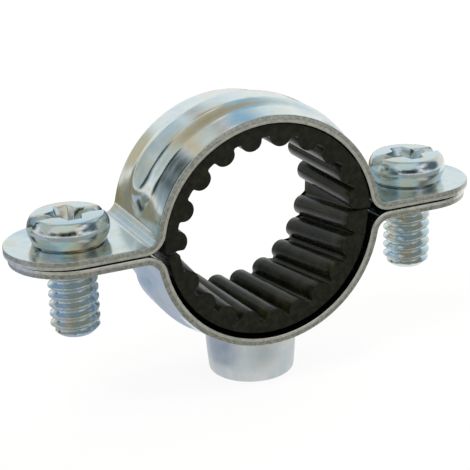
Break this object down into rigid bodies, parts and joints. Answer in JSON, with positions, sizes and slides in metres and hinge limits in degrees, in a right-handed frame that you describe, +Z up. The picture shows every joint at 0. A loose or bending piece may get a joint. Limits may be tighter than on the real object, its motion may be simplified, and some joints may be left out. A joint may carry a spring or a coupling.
{
  "type": "rubber lined pipe clamp",
  "caption": "Two-piece pressed steel pipe clamp with ribbed rubber lining, side lugs drawn together by screws, and a round threaded boss below for a hanger rod.",
  "frame": {"origin": "on the axis of the clamped pipe, in the split between the two halves, halfway along the band's width", "axes": "+X from the left screw to the right screw, +Y along the pipe, +Z up, away from the rod boss"},
  "size_m": [0.0642, 0.0152, 0.0373],
  "materials": {
    "band_zinc": "bright zinc plate",
    "boss_zinc": "bright zinc plate",
    "screw_zinc": "bright zinc plate",
    "lining_rubber": "satin black"
  },
  "bodies": {
    "lower_half": {"lower_band": "band_zinc", "boss": "boss_zinc", "lower_lining": "lining_rubber"},
    "upper_half": {"upper_band": "band_zinc", "upper_lining": "lining_rubber"},
    "left_screw": {"left_screw": "screw_zinc"},
    "right_screw": {"right_screw": "screw_zinc"}
  },
  "joints": [
    {"name": "clamp_lift", "type": "slide", "parent": "lower_half", "child": "upper_half", "axis": [0, 0, 1], "range_m": [0, 0.012]},
    {"name": "left_screw_turn", "type": "hinge", "parent": "upper_half", "child": "left_screw", "pos_m": [-0.0239, 0, 0], "axis": [0, 0, 1], "range_deg": [0, 3402]},
    {"name": "right_screw_turn", "type": "hinge", "parent": "upper_half", "child": "right_screw", "pos_m": [0.0239, 0, 0], "axis": [0, 0, 1], "range_deg": [0, 3402]}
  ],
  "couplings": [
    {"joint": "left_screw_turn", "follows": "clamp_lift", "rad_per_m": 4947.4},
    {"joint": "right_screw_turn", "follows": "clamp_lift", "rad_per_m": 4947.4}
  ]
}
